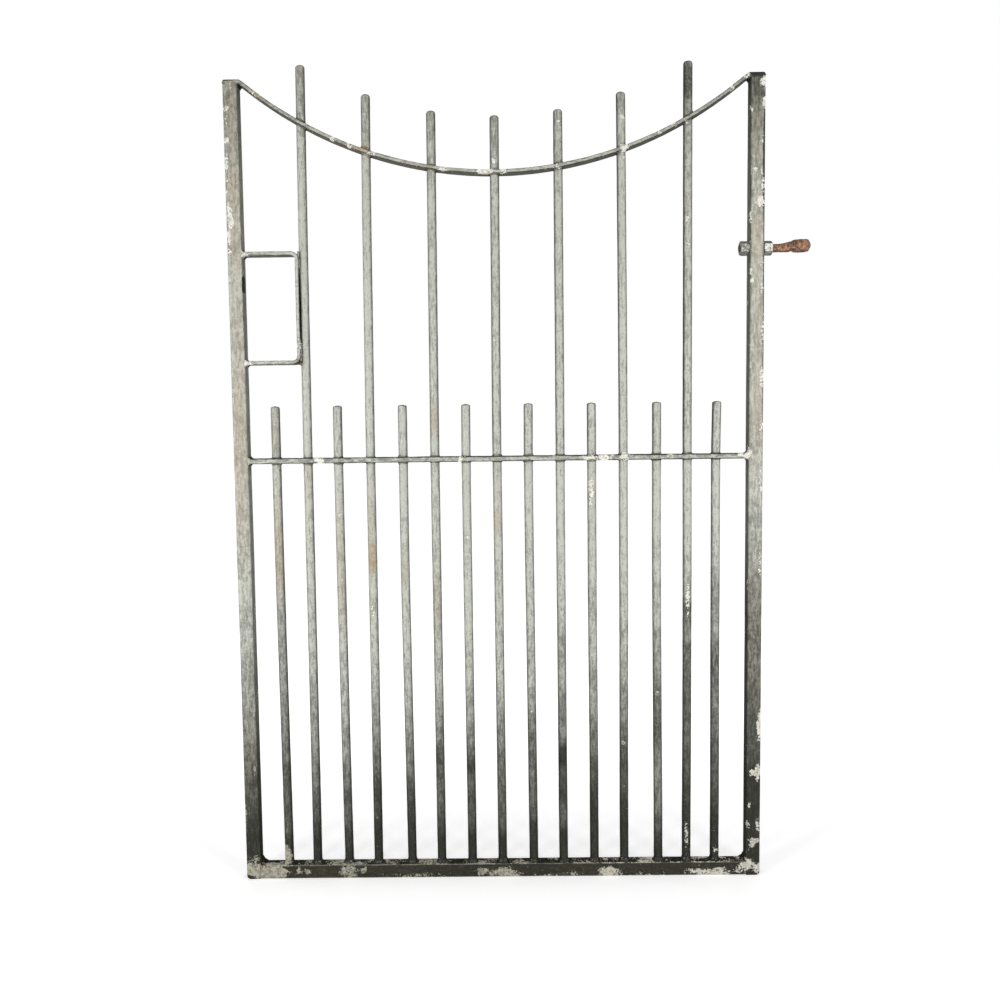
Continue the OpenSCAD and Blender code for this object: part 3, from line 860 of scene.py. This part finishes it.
x = np.concatenate([near_end[:-1], np.linspace(60, leaf_w - 60, 300), leaf_w - near_end[-2::-1]])
section = round_rect(tube, rail_t, edge_round, flat_gap) - [0, rail_t / 2]
grid = carried(section, x, rail_top(x))
upper_share = (section[:, 1] + rail_t) / rail_t
grid[..., 2] -= rounded_off(np.minimum(x, leaf_w - x), end_round)[:, None] * upper_share
grid = inward(grid, dents(grid, (0.20, 24, 8), (0.12, 6, 9)))
grid[..., 0] = np.clip(grid[..., 0], 0, leaf_w)
wear(build("top_rail_flat", [shell(grid)], paint_level, ["top_rail"]), edges=0.5, pale=0.98, loose=0.18,
     warm=0.12, flank=0.34, line=1.2, outline=1.2 * toward_edge(section, rail_t, len(x)))
print("arc radius", round(arc_r, 1), "mm, lowest upper face at", round(float(rail_top(leaf_w / 2)), 1), "mm")

# %% [markdown]
# ## The uprights
# A round bar with a hammered-over end is a surface of revolution whose radius shrinks along a quarter circle
# at the top. Nobody ever sets fifteen bars dead straight, so each leans by up to a few millimetres, and its
# axis wanders by less than half a millimetre more. Each bar has its own seed, so no two have the same dents.

# %% how each bar leans and how faded it is
# Off plumb in mm at its foot, at the mid rail and at its top; pale all over, how far up the black reaches in
# mm, pale above the mid rail, and how warm.
BARS = dict(zip(long_bars + short_bars, [
    (-0.5, 0.5, 4.0, 1.00, 60, 1.16, 0.04), (0.0, 0.5, 4.5, 1.02, 45, 1.11, 0.04),
    (1.5, 0.5, 3.0, 0.92, 50, 0.99, 0.10), (2.5, 0.5, 2.0, 0.96, 10, 0.94, 0.08),
    (2.0, 0.5, 0.5, 1.00, 35, 0.99, 0.02), (1.0, 1.0, -2.0, 1.02, -50, 1.06, 0.04),
    (1.0, 1.5, 1.5, 0.98, 0, 0.91, 0.03), (4.0, 0.5, 0.5, 0.75, 70, 0.88, 0.04),
    (3.5, 0.0, 0.0, 0.99, 35, 0.86, 0.0), (3.5, -0.5, -0.5, 1.03, 55, 0.98, 0.06),
    (2.0, 0.0, 0.5, 1.05, 35, 1.06, 0.02), (3.5, 0.0, 0.5, 1.03, 50, 0.92, 0.02),
    (2.0, 0.0, 0.0, 0.95, -10, 0.98, 0.03), (3.0, -0.5, -0.5, 0.98, -25, 1.06, 0.06),
    (0.5, 0.5, 2.0, 0.97, -15, 0.92, 0.01),
]))


def off_plumb(node, z):
    """How far a bar's axis lies from where it should stand, at height z: from its foot's value to its value
    at the mid rail by a smooth step, and on from there to its top's value as the 1.3 power of the height."""
    foot, at_rail, at_top = BARS[node][:3]
    above = np.clip((z - mid_z) / (span(node)[1][2] - mid_z), 0, 1) ** 1.3
    return foot + (at_rail - foot) * ramp(z, -200, mid_z) + (at_top - at_rail) * above


print("furthest off plumb:", max(abs(v) for row in BARS.values() for v in row[:3]), "mm")

# %% the bars
around_bar = 28
long_end, short_end = 5.0, 3.2
crown_h = 0.6


def bar(node, seed):
    """Rings of radius r(z): bar_r up to the rounding below the end, then a quarter circle inwards, then a
    low crown. The axis moves by a slow noise and by off_plumb, and shallow dents go inwards only."""
    low, high = span(node)
    rim = high[2] - crown_h
    rounding = long_end if node in long_bars else short_end
    straight = np.arange(low[2], rim - rounding, 3.0)
    quarter = np.linspace(0, math.pi / 2, 7)
    crown = np.array([0.72, 0.40, 0.12])
    z = np.concatenate([straight, rim - rounding + rounding * np.sin(quarter),
                        rim + crown_h * (1 - crown ** 2)])
    inner = bar_r - rounding
    r = np.concatenate([np.full(len(straight), bar_r), inner + rounding * np.cos(quarter), inner * crown])
    line = columns(0.0, 40.0 * seed, z)
    sway = 0.45 * columns(lumps(line, 260, seed), lumps(line, 260, seed + 50))
    sway *= ramp(z, low[2], low[2] + 120)[:, None]
    sway[:, 0] += off_plumb(node, z)
    flat = circle(around_bar) * r[:, None, None] + sway[:, None] + [middle(node)[0], depth_mid]
    grid = columns(flat[..., 0], flat[..., 1], z[:, None])
    dent = dents(grid, (0.14, 18, seed), (0.06, 5, seed + 20))
    dent += 0.5 * np.clip(lumps(grid, 4, seed + 30), 0, 1) * ramp(z, rim - 7, rim - 1)[:, None]
    return shell(inward(grid, dent * np.minimum(1, r / 4)[:, None]))


for number, node in enumerate(long_bars + short_bars):
    pale, lift, above_rail, warm = BARS[node][3:]
    piece = build(node + "_round", [bar(node, number + 1)], paint_up, [node])
    wear(piece, pale=pale, lift=lift, high=above_rail, warm=warm)

# %% [markdown]
# ## The lock box
# Flat bar bent twice, welded to the stile at both ends and to the first long bar down its upright. The path
# is two straights, two quarter circles and the upright between them.

# %% the bent flat bar
lock_t = 7.0
lock_bend = 7.0
lock_low, lock_high = span("lock_box")
lock_bottom, lock_top = lock_low[2] + lock_t / 2, lock_high[2] - lock_t / 2


def bent_line(step=2.0):
    """x and z along the middle of the lock box's bar: in at the lower arm, round a quarter circle, up, round
    the other, and back along the upper arm."""
    r = lock_bend + lock_t / 2
    right = lock_high[0] - lock_t / 2
    arm = np.arange(lock_low[0], right - r, step)
    rise = np.arange(lock_bottom + r, lock_top - r, step)[1:-1]
    quarter = np.linspace(0, math.pi / 2, 12)
    sine, cosine = r * np.sin(quarter), r * np.cos(quarter)
    x = [arm, right - r + sine, np.full_like(rise, right), right - r + cosine, arm[::-1]]
    z = [np.full_like(arm, lock_bottom), lock_bottom + r - cosine, rise, lock_top - r + sine,
         np.full_like(arm, lock_top)]
    return np.concatenate(x), np.concatenate(z)


x, z = bent_line()
section = round_rect(tube, lock_t, edge_round, flat_gap)
grid = carried(section, x, z)
grid = inward(grid, dents(grid, (0.15, 22, 12), (0.10, 6, 13)))
wear(build("lock_box_flat", [shell(grid)], paint_level, ["lock_box"]), edges=0.4, pale=0.96,
     flank=0.36, outline=1.2 * toward_edge(section, lock_t, len(x)))

# %% [markdown]
# ## Welds
# Nothing says hand-made like the welds. Each is a small lumpy fillet that runs round a joint: a closed ring
# for a bar through a rail, a ring round the flat bar where it meets a stile, and a thick gusset of metal in
# the corners. One fillet section carried round a closed path does all the rings.

# %% one fillet carried round a joint
weld_lap = 0.3  # how far a weld's seat is sunk into the face that it stands on


def fillet(ring, out, rise, wide, tall, seed, curve=1.35, sunk=1.2):
    """A weld round a joint. At each path point the section goes from wide out on the seat to tall up the
    wall along out = wide (1-t)^curve, rise = tall t^curve, and closes below the surface by sunk. Slow noise
    round the ring swells and narrows it."""
    t = np.linspace(0, 1, 8)[:, None]
    swell = 1 + 0.30 * lumps(ring, 4, seed) + 0.12 * lumps(ring, 1.6, seed + 1)
    a = np.concatenate([[[-sunk]], [[wide * 0.9]], wide * (1 - t) ** curve, [[-sunk]]])
    b = np.concatenate([[[-sunk]], [[-sunk]], tall * t ** curve, [[tall * 0.9]]])
    a, b = (np.where(side > 0, side * swell, side).T[..., None] for side in (a, b))
    return shell(ring[:, None] + out[:, None] * a + rise * b, closed=True)


def bar_weld(x_mid, z_seat, direction, wide, tall, seed, slope=0.0):
    """A fillet round an upright at height z_seat, on top of a rail (direction 1) or under it (-1)."""
    out = columns(*circle(30).T, 0.0)
    ring = out * (bar_r - 0.15) + [x_mid, depth_mid, z_seat]
    ring[:, 2] += slope * (ring[:, 0] - x_mid)
    out[:, 2] += slope * out[:, 0]
    return fillet(ring, out, direction * UPWARD, wide, tall, seed)


draw = np.random.default_rng(23)
feet, crossings = [], []
for number, node in enumerate(long_bars + short_bars):
    x_bar = middle(node)[0]
    x_mid = x_bar + float(off_plumb(node, tube))
    foot_size = draw.uniform(3.0, 4.0), draw.uniform(4.5, 8.0)
    feet.append(bar_weld(x_mid, tube - weld_lap, 1, *foot_size, number))
    x_mid = x_bar + float(off_plumb(node, mid_z))
    for seat, direction in ((mid_high[2] - weld_lap, 1), (mid_low[2] + weld_lap, -1)):
        size = draw.uniform(1.4, 2.6), draw.uniform(1.6, 3.4)
        crossings.append(bar_weld(x_mid, seat, direction, *size, number + 20 * direction + 40))
    if node in long_bars:
        x_mid = x_bar + float(off_plumb(node, rail_top(x_bar)))
        above = float(rail_top(x_mid))
        slope = float(rail_top(x_mid + 1) - rail_top(x_mid - 1)) / 2
        below = above - rail_t * math.hypot(1, slope)
        size = draw.uniform(2.2, 3.6), draw.uniform(3.0, 5.5)
        crossings.append(bar_weld(x_mid, above - weld_lap, 1, *size, number + 90, slope))
        size = draw.uniform(1.6, 2.8), draw.uniform(2.2, 4.0)
        crossings.append(bar_weld(x_mid, below + weld_lap, -1, *size, number + 110, slope))
wear(build("welds_at_bar_feet", feet, paint_weld), pale=0.8, loose=0.30)
wear(build("welds_at_crossings", crossings, paint_weld), pale=0.8, black=0.45, loose=0.20)


# %% welds round the ends of the flat bars
def end_weld(x_face, z_mid, thick, side, wide, tall, seed):
    """A fillet round a flat bar's section where it meets a stile's face. side points away from the face."""
    loop = round_rect(tube - 2 * weld_lap, thick - weld_lap, edge_round, weld_gap)
    nearby = np.roll(loop, -1, axis=0) - np.roll(loop, 1, axis=0)
    out = columns(0.0, *unit(columns(nearby[:, 1], -nearby[:, 0])).T)
    ring = columns(x_face, loop[:, 0] + depth_mid, loop[:, 1] + z_mid)
    points, quads, fans = fillet(ring, out, np.array([side, 0.0, 0.0]), wide, tall, seed)
    points[:, 1] = np.clip(points[:, 1], 0.15, tube - 0.15)
    return points, quads, fans


right_face = leaf_w - tube
ends = [
    end_weld(tube - weld_lap, mid_z, mid_t, 1, 3.2, 4.0, 201),
    end_weld(right_face + weld_lap, mid_z, mid_t, -1, 3.2, 4.0, 202),
    end_weld(tube - weld_lap, lock_bottom, lock_t, 1, 3.4, 4.2, 203),
    end_weld(tube - weld_lap, lock_top, lock_t, 1, 3.4, 4.2, 204),
]
wear(build("welds_at_stiles", ends, paint_weld), pale=0.9, loose=0.35)


# %% gussets of weld in the corners, and the seam under each end of the top rail
def corner_fill(x_face, z_face, side, up_way, radius, seed, sunk=0.8):
    """Metal filling the corner between a stile's face and a rail's: a quarter-round hollow of that radius,
    carried through the leaf's depth."""
    angle = np.linspace(0, math.pi / 2, 9)
    hollow = radius * (1 - columns(np.sin(angle), np.cos(angle)))
    loop = np.concatenate([[[-sunk, -sunk], [radius, -sunk]], hollow, [[-sunk, radius]]])
    path = columns(x_face, np.linspace(0.5, tube - 0.5, 16), z_face)
    swell = 1 + 0.10 * lumps(path + [0, 0, 40 * seed], 7, seed)[:, None]
    return shell(carry(loop, path, [side, 0, 0] * swell, [0, 0, up_way] * swell))


def seam(x_low, x_high, seed, bead=1.5, skin=0.05):
    """A low bead round a stile under the top rail's end: a round section carried round a rounded square."""
    loop = round_rect(x_high - x_low, tube, tube_corner, weld_gap)
    ring = columns(loop[:, 0] + (x_low + x_high) / 2, loop[:, 1] + depth_mid, leaf_h - rail_t)
    out = unit((ring - ring.mean(axis=0)) * [1, 1, 0])
    size = bead * (1 + 0.35 * lumps(ring, 5, seed)[:, None])
    grid = carry(circle(10), ring - out * bead, out * size, 0.8 * bead * UPWARD * size)
    grid[..., 0] = np.clip(grid[..., 0], x_low + skin, x_high - skin)
    grid[..., 1] = np.clip(grid[..., 1], skin, tube - skin)
    return shell(grid, closed=True)


gussets = [
    corner_fill(tube, tube, 1, 1, 8.5, 1),
    corner_fill(right_face, tube, -1, 1, 8.0, 2),
    corner_fill(tube, leaf_h - rail_t, 1, -1, 4.0, 3),
    corner_fill(right_face, leaf_h - rail_t, -1, -1, 4.0, 4),
    seam(0, tube, 5),
    seam(right_face, leaf_w, 6),
]
wear(build("welds_in_corners", gussets, paint_weld), pale=0.6, black=0.2, loose=0.25)


# %% the run of weld between the lock box and the first long bar
def blob(centre, sizes, seed):
    """A lumpy ellipsoid: latitude rings of a unit sphere, scaled by sizes and swollen by noise."""
    tilt = np.linspace(-math.pi / 2, math.pi / 2, 12)[1:-1, None]
    cosine, sine = circle(16).T
    ball = columns(np.cos(tilt) * cosine, np.cos(tilt) * sine, np.sin(tilt))
    swell = 1 + 0.22 * lumps(ball * 3 + 9 * seed, 1.7, seed)
    return shell(ball * swell[..., None] * sizes + centre)


draw = np.random.default_rng(5)
bead_step = 4.5
bead_y = depth_mid - 8.0
beads = []
for z_low, z_high in ((lock_high[2] - 26, lock_high[2] - 3), (lock_low[2] + 8, lock_low[2] + 38)):
    for number, z_here in enumerate(np.arange(z_low, z_high, bead_step)):
        size = draw.uniform(0.85, 1.15)
        sizes = (2.6 * size, 3.0 * size, 3.6)
        for y_here in (bead_y, tube - bead_y):
            beads.append(blob((lock_high[0] - 0.6, y_here, z_here), sizes, number + 3))
beads.append(blob((lock_high[0] - 1, depth_mid, lock_low[2] + 1.5), (5.5, 8.5, 3.4), 41))
wear(build("welds_on_lock_box", beads, paint_weld), pale=0.8, black=0.2, loose=0.25)

# %% [markdown]
# ## The eye bolt and its nuts
# The eye is forged: flat faces top and bottom, an outside that swells to a blunt ridge, and a bore. The neck
# grows out of the thread, round at first, and deepens into the eye. Revolving a closed section makes the eye;
# the neck is a ring whose height and width change along its length. Scale pits both.

# %% the eye
eye_seat = -corner / MM
eye_low, eye_high = span("eye_bolt")
eye_r = eye_high[0] - eye_seat[0]
bore = [m for m in frame["record"]["mounts"] if m["name"] == "hinge_eye"][0]["dims"]
bore_r, eye_h = bore["r_mm"], bore["length_mm"]
bolt_axis = middle("inner_nut")[2]
nut_end = span("outer_nut")[1][0]
face_r = 14.3
nose_at = 0.53
print("eye radius", round(float(eye_r), 2), "bore", bore_r, "height", eye_h, "seat at", np.round(eye_seat, 2))


def eye():
    """A closed section turned about the bore: the bore's wall, a flat top, a flat underside, and an outside
    that runs out to a blunt nose at the share nose_at of its height. With d the distance from the nose as a
    share of what lies on that side of it, radius = face_r + (eye_r - face_r) (1 - d^1.2)."""
    s = np.linspace(0, 1, 19)
    nose = 1 - np.abs((s - nose_at) / np.where(s < nose_at, nose_at, 1 - nose_at)) ** 1.2
    outside = columns(face_r + (eye_r - 0.35 - face_r) * nose, eye_h * s)
    top = columns(np.linspace(face_r, bore_r, 6)[1:-1], eye_h)
    wall = columns(bore_r, np.linspace(eye_h, 0, 10))
    under = columns(np.linspace(bore_r, face_r, 6)[1:-1], 0.0)
    section = np.concatenate([outside, top, wall, under])
    out = columns(*circle(120).T, 0.0)
    grid = carry(section, np.zeros_like(out), out, UPWARD)
    pit = dents(grid, (0.30, 5, 61), (0.24, 2.0, 62), (0.12, 0.9, 66)) * (section[:, 0] > face_r - 0.01)
    grid = grid - out[:, None] * pit[..., None]
    grid[..., 2] -= (section[:, 1] > eye_h - 0.01) * dents(grid, (0.22, 4, 63))
    return shell(grid + eye_seat, closed=True)


def round_axis(x, across, upward):
    """Rings round the bolt's axis: across and upward are each ring's distances from it, at x."""
    return columns(x[:, None], depth_mid + across, bolt_axis + upward)


def neck():
    """Ellipses across the bolt's axis. On the way into the eye the half width grows a little, the upper side
    climbs slowly to just under the eye's top, and the lower side rises to the eye's flat underside."""
    neck_r = 7.35
    eye_start = eye_seat[0] - eye_r
    x = np.linspace(nut_end + 1.0, eye_seat[0] - bore_r - 1.5, 60)
    grow = ramp(x, eye_start - 19, eye_seat[0] - bore_r - 1)
    sunk = ramp(x, eye_start - 3, eye_start + 5)
    start = 0.85 + 0.15 * ramp(x, x[0], x[0] + 0.8)
    half_w = (neck_r + 3.6 * grow) * start
    above = (neck_r + (eye_h + eye_seat[2] - bolt_axis - neck_r - 0.5) * grow) * start
    below = (neck_r - (eye_seat[2] - bolt_axis + neck_r + 0.1) * sunk) * start
    cosine, sine = circle(44).T
    grid = round_axis(x, half_w[:, None] * cosine, np.where(sine > 0, above[:, None], below[:, None]) * sine)
    return shell(inward(grid, dents(grid, (0.16, 5, 64), (0.13, 1.8, 65))))


def thread():
    """The threaded length. The radius has a round ripple of one pitch a turn, so the crest winds along as a
    helix: radius = thread_r - depth (1 + cos(2 pi x / pitch - angle)) / 2. The first turn is tapered."""
    pitch, thread_r, depth, taper = 2.0, 7.0, 0.9, 1.0
    x = np.arange(eye_low[0], nut_end + 1.5, 0.4)
    angle = turns(36)
    wave = 0.5 * (1 + np.cos(2 * math.pi * x[:, None] / pitch - angle))
    r = thread_r - taper + ramp(x, eye_low[0] - 0.3, eye_low[0] + 1.2)[:, None] - depth * wave
    return shell(round_axis(x, r * np.cos(angle), r * np.sin(angle)))


wear(build("eye_bolt_forged", [eye(), neck(), thread()], rusted, ["eye_bolt"], sharp=50))

# %% the nuts
nut_hole_r = 6.9
cone_drop, cone_slope = 0.35, 1.9
RINGS = np.array([0.0, 0.02, 0.05, 0.10, 0.16, 0.27, 0.47, 0.68, 0.82, 0.91, 0.95, 0.98, 1.0])


def nut(node, face_side):
    """A hexagon with its corners up and down, whose radius at each angle is the lesser of the flat's
    a / cos(angle from its middle) and a cone's at both faces, which is what turns the corners of a real nut.
    face_side is its free side."""
    low, high = span(node)
    flat_r = (high[1] - low[1]) / 2
    length = high[0] - low[0]
    axis = (low + high) / 2
    angle = turns(96)
    wedge = (angle + math.pi / 6) % (math.pi / 3) - math.pi / 6
    depth = RINGS * length
    cone = flat_r - cone_drop + cone_slope * np.minimum(depth, length - depth)
    hole = np.full((1, len(angle)), nut_hole_r)
    r = np.concatenate([hole, np.minimum(flat_r / np.cos(wedge), cone[:, None]), hole])
    depth = np.concatenate([depth[:1], depth, depth[-1:]])
    x = low[0] + depth if face_side > 0 else high[0] - depth
    grid = columns(x[:, None], axis[1] + r * np.cos(angle), axis[2] + r * np.sin(angle))
    scar = dents(grid, (0.14, 3.5, 71 + face_side), (0.08, 1.4, 74 + face_side))
    grid[..., 1:] = axis[1:] + (grid[..., 1:] - axis[1:]) * (1 - scar / np.maximum(r, 1))[..., None]
    return shell(grid)


for node, face_side, finish in (("inner_nut", -1, nut_inner), ("outer_nut", 1, nut_outer)):
    wear(build(node + "_worn", [nut(node, face_side)], finish, [node], sharp=28))

# %% [markdown]
# ## Floor, light and camera
# The gate stands on a plain pale floor in an even, bright room. Two narrow soft boxes in front draw a line
# of light down each round bar, left and right of its middle. Two wide ones at the sides and two behind keep
# the rest readable. The white background is what the camera and the reflections see, never more light on
# the gate.

# %% the floor
near_glow, far_glow = 0.43, 0.70
WHITE = shade(1, 1, 1)


def seen_directly(tree):
    """1 for what the camera sees, straight, in a reflection or through glass, and 0 for light that falls."""
    seen = add(tree, "LightPath").outputs
    direct = maths(tree, "MAXIMUM", seen["Is Camera Ray"], seen["Is Glossy Ray"])
    return maths(tree, "MAXIMUM", direct, seen["Is Transmission Ray"])


def floor_finish():
    """Pale diffuse floor. What is seen directly gets a little added glow, less of it close to the gate, so
    the floor reads as white and still takes the gate's shadow."""
    made = bpy.data.materials.new("pale_floor")
    tree = cleared(made)
    direct = seen_directly(tree)
    plain = feed(tree, add(tree, "BsdfDiffuse"), Color=shade(.86, .86, .86))
    where = feed(tree, add(tree, "SeparateXYZ"), Vector=object_place(tree)).outputs
    beyond_ends = maths(tree, "ABSOLUTE", maths(tree, "ADD", where[0], 0.5))
    beyond_ends = maths(tree, "SUBTRACT", beyond_ends, 0.5)
    away = maths(tree, "MAXIMUM", maths(tree, "ABSOLUTE", where[1]), beyond_ends)
    level = between(tree, away, 0.05, 0.9, near_glow, far_glow)
    glow = feed(tree, add(tree, "Emission"), Color=WHITE, Strength=times(tree, direct, level))
    both = add(tree, "AddShader")
    fill(tree, both.inputs, (plain.outputs[0], glow.outputs[0]))
    feed(tree, add(tree, "OutputMaterial"), Surface=both.outputs[0])
    return made


floor_half = 14.0
floor_z = float(corner[2])
corners = [(sx * floor_half, sy * floor_half, floor_z) for sx, sy in ((-1, -1), (1, -1), (1, 1), (-1, 1))]
mesh = bpy.data.meshes.new("floor")
mesh.from_pydata(corners, [], [(0, 1, 2, 3)])
mesh.materials.append(floor_finish())
floor = in_scene("floor", mesh)

# %% the room's light
room_level = 0.42
world = bpy.data.worlds.new("bright room")
bpy.context.scene.world = world
tree = cleared(world)
strength = times(tree, seen_directly(tree), 1.0 - room_level, room_level)
sky = feed(tree, add(tree, "Background"), Color=WHITE, Strength=strength)
feed(tree, add(tree, "OutputWorld"), Surface=sky.outputs[0])


def on_leaf(place_mm):
    """A place in leaf millimetres as a point of the frame."""
    return Vector(np.array(place_mm) * MM + corner)


# name, place and aim in leaf millimetres, width and height in metres, watts
SOFT_BOXES = [
    ("strip_left", (-650, -1500, 800), (300, 0, 750), 0.25, 1.3, 10),
    ("strip_right", (1400, -1400, 800), (600, 0, 750), 0.25, 1.3, 8),
    ("fill_left", (-1300, -900, 800), (200, 0, 750), 0.8, 1.4, 7),
    ("fill_right", (2200, -900, 800), (700, 0, 750), 0.8, 1.4, 5.5),
    ("soft_box_back_left", (-900, 1900, 1200), (400, 0, 700), 1.0, 1.3, 6),
    ("soft_box_back_right", (1900, 1900, 1200), (500, 0, 700), 1.0, 1.3, 6),
]
for name, place_mm, aim_mm, width, height, watts in SOFT_BOXES:
    lamp = bpy.data.lights.new(name, "AREA")
    lamp.shape, lamp.size, lamp.size_y, lamp.energy = "RECTANGLE", width, height, watts
    made = in_scene(name, lamp)
    place, aim = on_leaf(place_mm), on_leaf(aim_mm)
    facing = (aim - place).to_track_quat("-Z", "Y")
    made.matrix_world = Matrix.Translation(place) @ facing.to_matrix().to_4x4()
    made.visible_camera = False
print("soft boxes:", len(SOFT_BOXES))

# %% the camera
camera_mm = (473, -1693, 799)
turned, tipped, rolled = (math.radians(a) for a in (-0.43, -4.21, -0.68))
sensor_mm, focal_mm = 36.0, 35.26
camera_data = bpy.data.cameras.new("camera")
camera_data.sensor_width, camera_data.lens = sensor_mm, focal_mm
camera = in_scene("camera", camera_data)
aimed = Matrix.Rotation(-turned, 4, "Z") @ Matrix.Rotation(math.radians(90) + tipped, 4, "X")
camera.matrix_world = Matrix.Translation(on_leaf(camera_mm)) @ aimed @ Matrix.Rotation(rolled, 4, "Z")
bpy.context.scene.camera = camera
bpy.context.scene.view_settings.view_transform = "Standard"
print("camera at", camera_mm, "mm on the leaf, lens", focal_mm, "mm")
